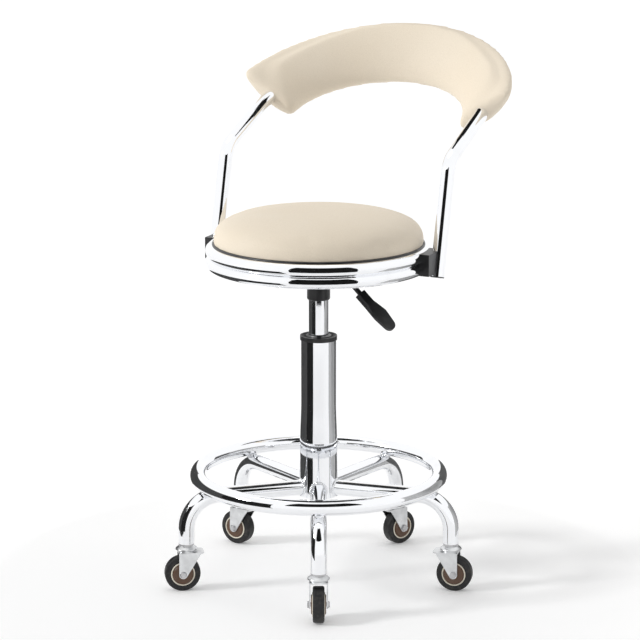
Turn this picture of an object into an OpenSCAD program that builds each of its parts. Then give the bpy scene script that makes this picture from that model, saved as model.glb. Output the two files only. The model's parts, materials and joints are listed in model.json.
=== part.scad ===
// Rolling stylist stool: round upholstered seat with a wrap-around back, gas lift, foot ring and five casters.
// Millimetres. +Z is up, the floor is z = 0 and the column's axis is x = y = 0. The sitter faces -Y.

/* [Seat] */
// Outside diameter of the chromed seat rim
seat_d = 314; // [280:2:360]
// Height of the seat rim's top edge above the floor, with the lift part way up
rim_top = 482.3; // [460:0.1:540]
// Radius of each of the rim's two rolled beads
bead_r = 9; // [7:0.5:11]
// Height from one bead's centre to the other's
bead_pitch = 16; // [12:0.5:17]
// Height of the cushion's crown above the rim
crown = 47; // [30:1:60]
// Thickness of the plywood seat board
board_t = 12; // [9:0.5:18]

/* [Back] */
// Outside diameter of the back's bent tube
arm_d = 20; // [16:0.5:25]
// Distance from the column's axis back to the foot of each arm
arm_foot_y = 20.6; // [10:0.2:30]
// Length of each arm from its foot to the corner of its bend
arm_len = 158.8; // [130:0.2:220]
// Backward lean of the arms from the vertical, in degrees
arm_lean = 14.9; // [8:0.1:20]
// Radius of the arms' bend, along the tube's centre
arm_bend_r = 36; // [30:1:50]
// Rise of the back hoop from the horizontal, in degrees
hoop_slope = 20; // [10:0.2:28]
// Distance from the arms' corner to the centre of the half-round hoop
hoop_reach = 125; // [100:1:170]
// Height of the back pad's section
pad_h = 88; // [70:1:110]
// Thickness of the back pad's section
pad_t = 38; // [34:1:50]
// Outward lean of the pad's section from square to the hoop, in degrees
pad_tilt = 40; // [20:1:60]
// Distance of the pad's centre from the hoop tube's centre, along its section
pad_rise = 3; // [0:0.5:12]
// Distance of the pad's centre from the hoop tube's centre, across its section
pad_out = 0; // [-6:0.5:6]
// How far round the hoop each end of the pad stands from the hoop's start, in degrees
pad_start = 5; // [2:0.5:20]

/* [Lift] */
// Diameter of the column tube
column_d = 50; // [46:0.5:60]
// Diameter of the column tube's swaged lower end
swage_d = 53; // [50:0.5:64]
// Length of the column tube
column_len = 225; // [205:1:250]
// Diameter of the gas cylinder that slides in the column
cylinder_d = 28; // [25:0.5:30]
// Diameter of the piston rod
rod_d = 10; // [8:0.5:12]
// Travel of the seat below the height that is modelled
travel_down = 45; // [30:1:46]
// Travel of the seat above the height that is modelled
travel_up = 75; // [40:1:80]

/* [Base] */
// Distance from the column's axis to each caster's swivel axis
leg_reach = 194; // [160:1:240]
// Outside diameter of the leg tubes
leg_d = 22; // [18:0.5:25]
// Radius of the legs' bend, along the tube's centre
leg_bend_r = 46; // [36:1:50]
// Height of the legs' straight stretch over their lower ends, to the tube's centre
leg_drop = 65.5; // [60:0.5:80]
// Outside diameter of the foot ring's tube
ring_d = 22; // [18:0.5:25]
// Distance of the foot ring's centre line inside the casters' circle
ring_inset = 24; // [16:1:34]
// Turn of the base under the seat, in degrees
base_turn = 23; // [0:1:71]

/* [Casters] */
// Diameter of the caster wheels
wheel_d = 50; // [44:0.5:52]
// Width of the tyre
tyre_w = 16; // [12:0.5:18]
// Diameter on which the tyre sits
tyre_seat_d = 32; // [28:0.5:36]
// Distance of the axle behind the swivel axis
trail = 6; // [4:0.5:20]
// Thickness of the fork's steel
fork_t = 2; // [1.5:0.1:2.5]

/* [Hidden] */
$fn = 64;
legs = 5;
tube_wall = 1.5;      // wall of every bent tube
run = 0.06;           // radial clearance of parts that turn or slide in each other
slip = 0.1;           // radial clearance of bolts in their holes

// Casters, from the floor up
wheel_r = wheel_d / 2;
fork_gap = 4.5;                              // over the tyre
fork_top = wheel_r * 2 + fork_gap + fork_t;  // top face of the fork's plate
race_h = 1.8;                                // lower ball race, pressed up from the plate
dish_t = 6;                                  // upper ball race
dish_r = 15.5;
dish_z = fork_top + race_h + 0.3;
collar_t = 2.4;                              // hexagon on the caster's stem
socket_flange = 1;                           // rim of the socket, under the leg's end
socket_fit = 0.02;                           // radial clearance of the socket in the leg
leg_end = dish_z + dish_t + collar_t + socket_flange;   // where the leg tubes end
stem_r = 4;
socket_len = leg_drop - leg_bend_r - 0.5;    // as long as the leg's straight lower stretch
stem_len = socket_len - 3;
axle_r = 3;
hub_w = 20.5;                                // width over the hub's bosses
hub_r = 14.2;
cheek_in = hub_w / 2 + 0.6;                  // inner face of each fork cheek
cheek_out = cheek_in + fork_t;
cheek_end_r = 5.8;
fork_back = 11.5;                            // how far the cheeks reach behind the swivel axis
fork_nose = 24;                              // how far the fork reaches ahead of it
nose_r = 5;
// Turn of each caster from pointing straight out
caster_turn = [0, 4, -16, 20, -9];

// Base
leg_r = leg_d / 2;
leg_z = leg_end + leg_drop;
ring_r = ring_d / 2;
foot_ring_r = leg_reach - ring_inset;
leg_run = leg_reach - leg_bend_r;            // where the legs start to bend
weld_sink = 0.4;                             // the ring's weld on the legs
foot_ring_z = leg_z - leg_bend_r
    + sqrt(pow(leg_bend_r + leg_r + ring_r - weld_sink, 2) - pow(foot_ring_r - leg_run, 2));
swage_r = swage_d / 2;
column_r = column_d / 2;
column_wall = 2;
bore_r = column_r - column_wall;
column_foot = leg_z - leg_r - 1.5;           // the tube's lower end, just under the legs
column_top = column_foot + column_len;
swage_h = 80;                                // height of the swaged stretch
swage_blend = 55;                            // height over which it narrows

// Gas lift, from the bottom up
floor_t = 4;
floor_z = column_foot + 2;
race_t = 3;
race_in = 6;
race_out = 14;
ball_r = 2;
ball_count = 10;
ball_circle = 10;
balls_z = floor_z + floor_t + race_t;
upper_race_z = balls_z + 2 * ball_r;
buffer_z = upper_race_z + race_t;
buffer_h = 5;
bush_flange_t = 6;
bush_flange_r = column_r + 1;
bush_top = column_top + bush_flange_t;
bush_len = 82;
cyl_r = cylinder_d / 2;
cyl_wall = 1.5;
cyl_foot = buffer_z + buffer_h + 1 + travel_down;
guide_h = 15;                                // rod guide and seal in the cylinder's foot
rod_r = rod_d / 2;
piston_z = cyl_foot + guide_h + travel_up + 4;
piston_h = 12;
clip_t = 1.2;
rod_foot = floor_z - clip_t - 3;

// Seat, from the top of the rim down
seat_r = seat_d / 2;
bead_cr = seat_r - bead_r;                   // radius of the beads' centre line
bead_hi = rim_top - bead_r;
bead_lo = bead_hi - bead_pitch;
rim_mid = (bead_hi + bead_lo) / 2;
rim_edge = 1.8;                              // how far the upper bead's top reaches in past its centre
sheet = 1.2;                                 // rim's sheet steel
rim_foot = bead_lo - bead_r;
lip_in = bead_cr - 14;                       // inner edge of the rim's lower lip
cover_t = 1.5;
cover_r = bead_cr - 2.5;                     // cover's radius inside the rim
cover_foot = rim_foot + sheet;
board_r = cover_r - cover_t;
board_z = cover_foot + cover_t;
bulge_r = seat_r - 7;                        // cushion's widest radius, over the rim
bulge_z = rim_top + 11;
bulge_drop = 17;                             // depth of the roll under the widest point
top_z = rim_top + crown;
dust_t = 0.8;
dust_r = lip_in - 0.2;
plate_top = board_z - dust_t;
plate_t = 3;
plate_x = 150;
plate_y = 130;
plate_corner = 12;
bolt_x = 60;
bolt_y = 50;
bolt_r = 3;
trough_x = 34;                               // half length and half width of the mechanism's trough
trough_y = 24;
trough_floor = plate_top - 24.5;
socket_foot = plate_top - 47;
socket_r = cyl_r + 2.2;
taper = 0.7;                                 // how much the cylinder narrows in its socket
taper_top = trough_floor + 6;
valve_r = 3;
rim_screws_n = 6;
rim_screw_r = 2;
rim_screw_circle = (lip_in + cover_r) / 2;

// Height lever
lever_r = 3.5;
lever_z = plate_top - 10;
pivot_x = 26;
pivot_r = 2.5;
pivot_boss_r = 4.6;
knee_x = 38;                                 // where the rod turns down
lever_drop = 45;                             // its angle below the horizontal
grip_from = 34;                              // along the sloping rod
grip_len = 68;
grip_turn = 27;                              // turn of the grip's face about the rod, towards -Y
neck_w = 12;
neck_t = 10.5;
neck_len = 20;
blade_from = 41;                             // along the grip, to the blade's widest place
blade_r = 11.5;
blade_t = 4.5;
tip_r = 9;
valve_gap = 0.6;
valve_top = lever_z - lever_r - valve_gap;
valve_foot = taper_top - 13;
valve_travel = 4.2;

// Back
arm_r = arm_d / 2;
spacer_t = 1;
arm_x = seat_r + spacer_t + arm_r;
arm_foot_z = rim_foot - 4;
corner_y = arm_foot_y + arm_len * sin(arm_lean);
corner_z = arm_foot_z + arm_len * cos(arm_lean);
arm_turn = 90 - arm_lean - hoop_slope;
bend_run = arm_bend_r * tan(arm_turn / 2);   // from the corner to each end of the bend
arm_mid_y = arm_foot_y + (rim_mid - arm_foot_z) * tan(arm_lean);
spacer_from = asin((arm_mid_y - 38) / seat_r);   // the blocks' turns round the rim, ahead of the bolt
spacer_to = asin((arm_mid_y + 12) / seat_r);     // and behind it
arm_bolt_r = 4;
arm_bolt_head = 6.5;
arm_bolt_head_t = 2.4;
hairline = 0.01;      // gap between two stretches of the bent tube, bridged by a plug inside
pad_r = pad_t / 2;
pad_half = pad_h / 2 - pad_r;                // from the section's centre to its end circles

// ---------- shapes that repeat ----------

// A ring of rectangular section
module ring(inner, outer, z, h) {
    translate([0, 0, z]) difference() {
        cylinder(r = outer, h = h);
        translate([0, 0, -1]) cylinder(r = inner, h = h + 2);
    }
}

// A bar of round section along +Z
module bar(r, z, h) {
    translate([0, 0, z]) cylinder(r = r, h = h);
}

// A round bar bent about the Z axis
module bent_bar(bend, r, angle) {
    rotate_extrude(angle = angle) translate([bend, 0]) circle(r = r);
}

// The direction of leg i, counted from 1
function leg_angle(i) = -90 + base_turn + (i - 1) * 360 / legs;

// Moves its children to the swivel axis of caster i, with +X pointing out from the column
module at_caster(i) {
    rotate([0, 0, leg_angle(i)]) translate([leg_reach, 0, 0]) children();
}

// The same, turned as that caster stands, with +X towards its nose
module in_fork(i) {
    at_caster(i) rotate([0, 0, 180 + caster_turn[i - 1]]) children();
}

// ---------- base ----------

module column_tube() color([0.80, 0.81, 0.83]) rotate_extrude() difference() {
    polygon(concat(
        [[0, column_foot], [swage_r, column_foot]],
        [for (t = [0:8]) [column_r + (swage_r - column_r) * (1 + cos(t * 22.5)) / 2,
                          column_foot + swage_h + swage_blend * t / 8]],
        [[column_r, column_top], [0, column_top]]));
    translate([0, column_foot - 1]) square([bore_r, column_len + 2]);
}

module column_floor() color([0.45, 0.46, 0.48]) ring(rod_r + slip, bore_r, floor_z, floor_t);

module guide_bush() color([0.07, 0.07, 0.075]) difference() {
    union() {
        bar(bore_r, bush_top - bush_len, bush_len);
        bar(bush_flange_r, column_top, bush_flange_t);
    }
    bar(cyl_r + run, bush_top - bush_len - 1, bush_len + 2);
    translate([0, 0, bush_top]) rotate_extrude() translate([(cyl_r + bush_flange_r) / 2 + 1, 0]) circle(r = 3);
}

module leg_path(r, over) {
    translate([0, 0, leg_z]) rotate([0, 90, 0]) cylinder(r = r, h = leg_run);
    translate([leg_run, 0, leg_z - leg_bend_r]) rotate([90, 0, 0]) bent_bar(leg_bend_r, r, 90);
    translate([leg_reach, 0, leg_end - over]) cylinder(r = r, h = leg_z - leg_bend_r - leg_end + over);
}

module leg(i) color([0.80, 0.81, 0.83]) rotate([0, 0, leg_angle(i)]) difference() {
    leg_path(leg_r, 0);
    leg_path(leg_r - tube_wall, 1);
    bar(swage_r, column_foot - 1, 2 * leg_d);
}

module foot_ring() color([0.80, 0.81, 0.83]) translate([0, 0, foot_ring_z]) rotate_extrude()
    translate([foot_ring_r, 0]) difference() {
        circle(r = ring_r);
        circle(r = ring_r - tube_wall);
    }

module leg_sockets() color([0.5, 0.5, 0.52]) for (i = [1:legs])
    at_caster(i) {
        ring(stem_r, leg_r - tube_wall - socket_fit, leg_end, socket_len);
        ring(stem_r, leg_r, leg_end - socket_flange, socket_flange);
    }

module caster_stems() color([0.75, 0.75, 0.75]) for (i = [1:legs]) at_caster(i) {
    bar(stem_r, dish_z + dish_t, collar_t + socket_flange + stem_len);
    translate([0, 0, dish_z + dish_t]) cylinder(r = 11, h = collar_t, $fn = 6);
    bar(stem_r, fork_top - fork_t - 1.5, dish_z + dish_t - fork_top + fork_t + 1.5);
    translate([0, 0, fork_top - fork_t - 1.5]) cylinder(r1 = 6, r2 = 7, h = 1.4);
}

module caster_dishes() color([0.78, 0.77, 0.74]) for (i = [1:legs]) at_caster(i)
    translate([0, 0, dish_z]) rotate_extrude() difference() {
        polygon([[stem_r, 0.6], [9.5, 0.6], [dish_r - 1.5, 0], [dish_r, 1.2], [dish_r - 0.6, 2.6],
                 [11.5, dish_t - 0.8], [10.5, dish_t], [stem_r, dish_t]]);
        translate([11.2, 0.2]) circle(r = 1.1);
    }

// ---------- lift ----------

module thrust_race_lower() color([0.6, 0.6, 0.62]) ring(race_in, race_out, floor_z + floor_t, race_t);

module thrust_race_upper() color([0.6, 0.6, 0.62]) ring(rod_r, race_out, upper_race_z, race_t);

module thrust_balls() color([0.75, 0.75, 0.77]) for (a = [0:360 / ball_count:359]) rotate([0, 0, a])
    translate([ball_circle, 0, balls_z + ball_r]) sphere(r = ball_r - run / 2);

module buffer() color([0.1, 0.1, 0.1]) ring(rod_r, race_in + 5, buffer_z, buffer_h);

module piston_rod() color([0.75, 0.76, 0.78]) difference() {
    bar(rod_r, rod_foot, piston_z - rod_foot);
    ring(rod_r - 0.8, rod_r + 1, floor_z - clip_t, clip_t);
}

module retaining_clip() color([0.3, 0.3, 0.32]) difference() {
    ring(rod_r - 0.8, rod_r + 3.5, floor_z - clip_t, clip_t);
    translate([0, -2.5, floor_z - clip_t - 1]) cube([rod_r + 5, 5, clip_t + 2]);
}

module piston() color([0.5, 0.5, 0.5]) bar(cyl_r - cyl_wall - run, piston_z, piston_h);

module gas_cylinder() color([0.80, 0.81, 0.83]) difference() {
    union() {
        bar(cyl_r, cyl_foot, socket_foot - cyl_foot);
        translate([0, 0, socket_foot])
            cylinder(r1 = cyl_r, r2 = cyl_r - taper, h = taper_top - socket_foot);
    }
    bar(cyl_r - cyl_wall, cyl_foot - 1, socket_foot - cyl_foot - 2);
    bar(valve_r + slip, valve_foot - valve_travel, taper_top);
}

module rod_guide() color([0.12, 0.12, 0.12]) ring(rod_r + run, cyl_r - cyl_wall, cyl_foot, guide_h);

module release_pin() color([0.7, 0.7, 0.7]) bar(valve_r, valve_foot, valve_top - valve_foot);

// ---------- seat ----------

module taper_socket() color([0.05, 0.05, 0.055]) difference() {
    union() {
        bar(socket_r, socket_foot + 1.5, trough_floor - socket_foot - 1.5);
        translate([0, 0, socket_foot]) cylinder(r1 = socket_r - 1, r2 = socket_r, h = 1.5);
    }
    translate([0, 0, socket_foot])
        cylinder(r1 = cyl_r, r2 = cyl_r - taper, h = taper_top - socket_foot);
}

// A flat plate with round corners, centred on the axis
module round_plate(x, y, corner, z, h) {
    translate([-x / 2 + corner, -y / 2, z]) cube([x - 2 * corner, y, h]);
    translate([-x / 2, -y / 2 + corner, z]) cube([x, y - 2 * corner, h]);
    for (sx = [-1, 1], sy = [-1, 1])
        translate([sx * (x / 2 - corner), sy * (y / 2 - corner), z]) cylinder(r = corner, h = h);
}

module at_plate_bolts() {
    for (sx = [-1, 1], sy = [-1, 1]) translate([sx * bolt_x, sy * bolt_y, 0]) children();
}

module mechanism_plate() color([0.06, 0.06, 0.065]) difference() {
    union() {
        round_plate(plate_x, plate_y, plate_corner, plate_top - plate_t, plate_t);
        translate([-trough_x, -trough_y, trough_floor])
            cube([2 * trough_x, 2 * trough_y, plate_top - trough_floor]);
    }
    translate([-trough_x + plate_t, -trough_y + plate_t, trough_floor + plate_t])
        cube([2 * (trough_x - plate_t), 2 * (trough_y - plate_t), plate_top]);
    translate([0, 0, socket_foot])
        cylinder(r1 = cyl_r, r2 = cyl_r - taper, h = taper_top - socket_foot);
    translate([trough_x - plate_t - 1, -lever_r - 1, lever_z - lever_r - 3])
        cube([plate_t + 2, 2 * lever_r + 2, 2 * lever_r + 5.5]);
    at_plate_bolts() bar(bolt_r + slip, plate_top - plate_t - 1, plate_t + 2);
    translate([pivot_x, 0, lever_z]) rotate([90, 0, 0]) cylinder(r = pivot_r, h = 4 * trough_y, center = true);
}

module plate_bolts() color([0.6, 0.6, 0.6]) at_plate_bolts() {
    bar(bolt_r, plate_top - plate_t, plate_t + dust_t + board_t - 0.5);
    translate([0, 0, plate_top - plate_t - 4]) cylinder(r = 5.8, h = 4, $fn = 6);
}

module lever_pin() color([0.6, 0.6, 0.6]) translate([pivot_x, 0, lever_z]) rotate([90, 0, 0])
    cylinder(r = pivot_r, h = 2 * trough_y + 3, center = true);

module at_rim_screws() {
    for (i = [0:rim_screws_n - 1]) rotate([0, 0, (i + 0.5) * 360 / rim_screws_n])
        translate([rim_screw_circle, 0, 0]) children();
}

module rim_screws() color([0.6, 0.6, 0.6]) at_rim_screws() {
    bar(rim_screw_r, rim_foot, 11);
    translate([0, 0, rim_foot - 2]) cylinder(r1 = 2.6, r2 = 4, h = 2);
}

module seat_board() color([0.72, 0.58, 0.40]) difference() {
    bar(board_r, board_z, board_t);
    at_plate_bolts() bar(bolt_r + slip, board_z - 1, board_t + 2);
    at_rim_screws() bar(rim_screw_r, board_z - 1, 11 + rim_foot - board_z + 1);
}

module dust_cover() color([0.04, 0.04, 0.04]) difference() {
    bar(dust_r, plate_top, dust_t);
    at_plate_bolts() bar(bolt_r + slip, plate_top - 1, dust_t + 2);
}

// One side of the cushion's outline, from the rim's throat to the crown, shrunk by s all round
function cushion_side(s) = concat(
    [[cover_r - s, bulge_z - bulge_drop]],
    [for (t = [0:5:90]) [cover_r - s + (bulge_r - cover_r) * sin(t), bulge_z - bulge_drop * cos(t)]],
    [for (t = [6:6:90]) [(bulge_r - s) * pow(cos(t), 0.72),
                         bulge_z + (top_z - s - bulge_z) * pow(sin(t), 0.86)]]);

// The half section from height z up, shrunk by s, where it presses over the rim's upper bead
module cushion_section(z, s) difference() {
    polygon(concat([[0, z], [cover_r - s, z]], cushion_side(s)));
    intersection() {
        translate([bead_cr, bead_hi]) circle(r = bead_r + s + 0.2);
        translate([bead_cr - rim_edge - 0.2 - s, rim_foot]) square([seat_r, top_z]);
    }
}

module seat_foam() color([0.93, 0.88, 0.70]) rotate_extrude() cushion_section(board_z + board_t, cover_t);

module seat_cover() color([0.93, 0.89, 0.80]) difference() {
    rotate_extrude() difference() {
        cushion_section(cover_foot, 0);
        cushion_section(board_z, cover_t);
        square([lip_in, board_z + 1]);
    }
    at_rim_screws() bar(rim_screw_r, cover_foot - 1, cover_t + 2);
}

// The rim's two beads as a flat shape, filled
module beads(r) {
    translate([bead_cr, bead_hi]) circle(r = r);
    translate([bead_cr, bead_lo]) circle(r = r);
}

module seat_rim() color([0.80, 0.81, 0.83]) difference() {
    rotate_extrude() {
        difference() {
            beads(bead_r);
            beads(bead_r - sheet);
            translate([0, rim_foot - 1]) square([bead_cr - rim_edge, 2 * bead_pitch + 4 * bead_r]);
            translate([0, rim_foot - 1]) square([bead_cr, bead_pitch + bead_r]);
        }
        translate([lip_in, rim_foot]) square([bead_cr - lip_in, sheet]);
    }
    at_rim_screws() bar(rim_screw_r + slip, rim_foot - 1, sheet + 2);
    for (side = [-1, 1]) arm_bolt(side, slip);
}

// ---------- back ----------

// Moves its children to the arms' corner, with +Y up the hoop's slope and +Z square to it
module on_hoop() {
    translate([0, corner_y, corner_z]) rotate([hoop_slope, 0, 0]) children();
}

// Moves its children to an arm's line, at the corner of its bend
module on_arm(side) {
    translate([side * arm_x, 0, 0]) children();
}

// Moves its children to the lower end of an arm's bend, with +Z down the arm
module at_bend_end() {
    translate([0, bend_run - arm_bend_r * sin(arm_turn), arm_bend_r * (cos(arm_turn) - 1)])
        rotate([90 + arm_turn, 0, 0]) children();
}

// One arm as a solid bar from its foot to the hoop's start, in the hoop's frame
module arm_bar(side, r, cut) on_arm(side) {
    translate([0, bend_run, 0]) rotate([-90, 0, 0]) cylinder(r = r, h = hoop_reach - bend_run);
    translate([0, bend_run, -arm_bend_r]) rotate([90, 0, 90]) rotate([0, 0, 90])
        bent_bar(arm_bend_r, r, arm_turn);
    at_bend_end() cylinder(r = r, h = arm_len - bend_run + cut);
}

// A stretch of straight tube along +Z, a hairline short at both ends
module straight_tube(len) ring(arm_r - tube_wall, arm_r, hairline, len - 2 * hairline);

// A stretch of bent tube about the Z axis
module bent_tube(bend, angle) {
    rotate_extrude(angle = angle) translate([bend, 0]) difference() {
        circle(r = arm_r);
        circle(r = arm_r - tube_wall);
    }
}

// A plug inside the tube that joins two stretches
module tube_plug() cylinder(r = arm_r - tube_wall / 2, h = 5, center = true);

// The bolt that holds an arm to the rim, from inside the rim, grown by s
module arm_bolt(side, s) {
    head_x = sqrt(pow(cover_r, 2) - pow(arm_mid_y - arm_bolt_head, 2)) + 0.4;
    translate([0, arm_mid_y, rim_mid]) rotate([0, side * 90, 0]) {
        bar(arm_bolt_head, head_x, arm_bolt_head_t);
        bar(arm_bolt_r + s, head_x + arm_bolt_head_t - 1, arm_x - head_x - arm_bolt_head_t + 1);
    }
}

module back_frame() color([0.80, 0.81, 0.83]) difference() {
    on_hoop() {
        translate([0, hoop_reach, 0]) bent_tube(arm_x, 180);
        for (side = [-1, 1]) on_arm(side) {
            translate([0, hoop_reach, 0]) rotate([90, 0, 0]) straight_tube(hoop_reach - bend_run);
            translate([0, bend_run, -arm_bend_r]) rotate([90, 0, 90]) rotate([0, 0, 90])
                bent_tube(arm_bend_r, arm_turn);
            at_bend_end() straight_tube(arm_len - bend_run);
            for (y = [hoop_reach, bend_run]) translate([0, y, 0]) rotate([90, 0, 0]) tube_plug();
            at_bend_end() tube_plug();
        }
    }
    for (side = [-1, 1]) arm_bolt(side, 0);
}

module arm_bolts() color([0.55, 0.55, 0.55]) for (side = [-1, 1]) arm_bolt(side, 0);

module arm_plugs() color([0.3, 0.3, 0.32]) for (side = [-1, 1])
    translate([side * arm_x, arm_foot_y, arm_foot_z]) rotate([-arm_lean, 0, 0]) {
        bar(arm_r - tube_wall, 0, 10);
        bar(arm_r - 0.3, -1.2, 1.2);
    }

module arm_spacers() color([0.05, 0.05, 0.055]) for (side = [-1, 1]) difference() {
    rotate([0, 0, side > 0 ? spacer_from : 180 - spacer_to])
        rotate_extrude(angle = spacer_to - spacer_from) difference() {
            translate([bead_cr, rim_foot + 2]) square([arm_x + 5 - bead_cr, rim_top - rim_foot - 4]);
            beads(bead_r);
        }
    translate([side > 0 ? arm_x : -arm_x - 30, -60, rim_foot]) cube([30, 160, rim_top - rim_foot]);
    on_hoop() arm_bar(side, arm_r, 1);
    arm_bolt(side, slip);
}

// The pad's section, shrunk by s, about the hoop tube's centre, with +X out from the hoop's axis
module pad_section(s) rotate([0, 0, -pad_tilt]) translate([pad_out, pad_rise]) {
    for (e = [-1, 1]) translate([0, e * pad_half]) circle(r = pad_r - s);
    square([2 * (pad_r - s), 2 * pad_half], center = true);
}

// Turns its children about the hoop's axis, over the pad's length less s at each end
module round_hoop(s) {
    inset = pad_start + s / arm_x * 180 / PI;
    on_hoop() translate([0, hoop_reach, 0]) rotate([0, 0, inset])
        rotate_extrude(angle = 180 - 2 * inset) translate([arm_x, 0]) children();
}

module back_cover() color([0.93, 0.89, 0.80]) difference() {
    round_hoop(0) pad_section(0);
    round_hoop(cover_t) pad_section(cover_t);
    round_hoop(-cover_t) circle(r = arm_r);
}

module back_foam() color([0.93, 0.88, 0.70]) round_hoop(cover_t) difference() {
    pad_section(cover_t);
    circle(r = arm_r);
}

// ---------- height lever ----------

module lever_rod() color([0.05, 0.05, 0.055]) difference() {
    union() {
        translate([-6, 0, lever_z]) rotate([0, 90, 0]) cylinder(r = lever_r, h = knee_x + 6);
        translate([pivot_x, 0, lever_z]) rotate([90, 0, 0]) cylinder(r = pivot_boss_r, h = 14, center = true);
        translate([knee_x, 0, lever_z]) sphere(r = lever_r + 0.6);
        translate([knee_x, 0, lever_z]) rotate([0, 90 + lever_drop, 0])
            cylinder(r = lever_r, h = grip_from + neck_len);
    }
    translate([pivot_x, 0, lever_z]) rotate([90, 0, 0])
        cylinder(r = pivot_r + run, h = 16, center = true);
}

// A stretch of the grip's blade, about a round end of radius r at x
module blade_end(x, r) translate([x, 0, neck_t / 2 - blade_t]) cylinder(r = r, h = blade_t, $fn = 32);

// The grip along +X with its face towards +Z: a square neck that flattens into a rounded blade
module lever_grip() color([0.05, 0.05, 0.055])
    translate([knee_x, 0, lever_z]) rotate([0, lever_drop, 0]) rotate([grip_turn, 0, 0])
    translate([grip_from, 0, 0]) difference() {
        union() {
            translate([0, -neck_w / 2, -neck_t / 2]) cube([neck_len, neck_w, neck_t]);
            hull() {
                translate([neck_len - 1, -neck_w / 2, -neck_t / 2]) cube([1, neck_w, neck_t]);
                blade_end(blade_from, blade_r);
            }
            hull() {
                blade_end(blade_from, blade_r);
                blade_end(grip_len - tip_r, tip_r);
            }
        }
        rotate([0, 90, 0]) translate([0, 0, -1]) cylinder(r = lever_r, h = neck_len + 1);
    }

// ---------- casters ----------

module fork(i) color([0.76, 0.77, 0.78]) in_fork(i) difference() {
    union() {
        for (side = [-1, 1]) translate([0, side * (cheek_in + fork_t / 2), 0]) rotate([90, 0, 0])
            linear_extrude(height = fork_t, center = true) hull() {
                translate([-fork_back, fork_top - fork_t]) square([fork_back + fork_nose - nose_r, fork_t]);
                translate([-trail, wheel_r]) circle(r = cheek_end_r, $fn = 32);
            }
        translate([0, 0, fork_top - fork_t]) linear_extrude(height = fork_t) {
            translate([-fork_back, -cheek_out])
                square([fork_back + fork_nose - nose_r, 2 * cheek_out]);
            translate([fork_nose - nose_r - 1, -cheek_out + nose_r])
                square([nose_r + 1, 2 * (cheek_out - nose_r)]);
            for (side = [-1, 1]) translate([fork_nose - nose_r, side * (cheek_out - nose_r)])
                circle(r = nose_r);
        }
        bar(12.4, fork_top, race_h - 0.2);
    }
    bar(stem_r + 0.3, fork_top - fork_t - 1, fork_t + race_h + 2);
    translate([-trail, 0, wheel_r]) rotate([90, 0, 0])
        cylinder(r = axle_r, h = 4 * cheek_out, center = true);
}

module axle(i) color([0.7, 0.7, 0.7]) in_fork(i) translate([-trail, 0, wheel_r]) rotate([90, 0, 0]) {
    cylinder(r = axle_r, h = 2 * cheek_out + 5, center = true);
    translate([0, 0, cheek_out]) cylinder(r1 = 5, r2 = 3.6, h = 2.5);
    translate([0, 0, -cheek_out - 2.4]) cylinder(r = 5, h = 2.4, $fn = 6);
}

module wheel_hub(i) color([0.22, 0.13, 0.08]) in_fork(i) translate([-trail, 0, wheel_r]) rotate([90, 0, 0])
    rotate_extrude() polygon([
        [axle_r + run, -hub_w / 2], [hub_r - 1.5, -hub_w / 2], [hub_r, -hub_w / 2 + 1.5],
        [hub_r, -tyre_w / 2 + 0.5], [tyre_seat_d / 2, -tyre_w / 2 + 0.5],
        [tyre_seat_d / 2, tyre_w / 2 - 0.5], [hub_r, tyre_w / 2 - 0.5],
        [hub_r, hub_w / 2 - 1.5], [hub_r - 1.5, hub_w / 2], [axle_r + run, hub_w / 2]]);

// Half of a tyre's section is its tread, rounded at the shoulder
module tyre(i) color([0.05, 0.05, 0.05]) in_fork(i) translate([-trail, 0, wheel_r]) rotate([90, 0, 0])
    rotate_extrude() {
        translate([tyre_seat_d / 2, -tyre_w / 2]) square([wheel_r - 3 - tyre_seat_d / 2, tyre_w]);
        translate([wheel_r - 3.01, -tyre_w / 2 + 3]) square([3.01, tyre_w - 6]);
        for (e = [-1, 1]) translate([wheel_r - 3, e * (tyre_w / 2 - 3)]) circle(r = 3);
    }

// ---------- the nodes ----------

column_tube();
column_floor();
guide_bush();
thrust_race_lower();
foot_ring();
leg_sockets();
caster_stems();
caster_dishes();
piston_rod();
piston();
thrust_balls();
thrust_race_upper();
buffer();
retaining_clip();
gas_cylinder();
rod_guide();
taper_socket();
mechanism_plate();
plate_bolts();
lever_pin();
seat_board();
dust_cover();
seat_foam();
seat_cover();
seat_rim();
rim_screws();
back_frame();
arm_spacers();
arm_bolts();
arm_plugs();
back_foam();
back_cover();
lever_rod();
lever_grip();
release_pin();
for (i = [1:legs]) {
    leg(i);
    fork(i);
    axle(i);
    wheel_hub(i);
    tyre(i);
}
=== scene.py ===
"""Looks of a rolling stylist stool: cream upholstery, chromed tube, plated casters and black plastics.

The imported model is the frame. Each class below builds one sub-assembly's pieces around it, in metres.
"""

import json
import logging
import math
from collections.abc import Callable, Sequence
from dataclasses import dataclass, field
from enum import Enum

import bpy
import numpy as np
from mathutils import Matrix, Vector

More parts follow.
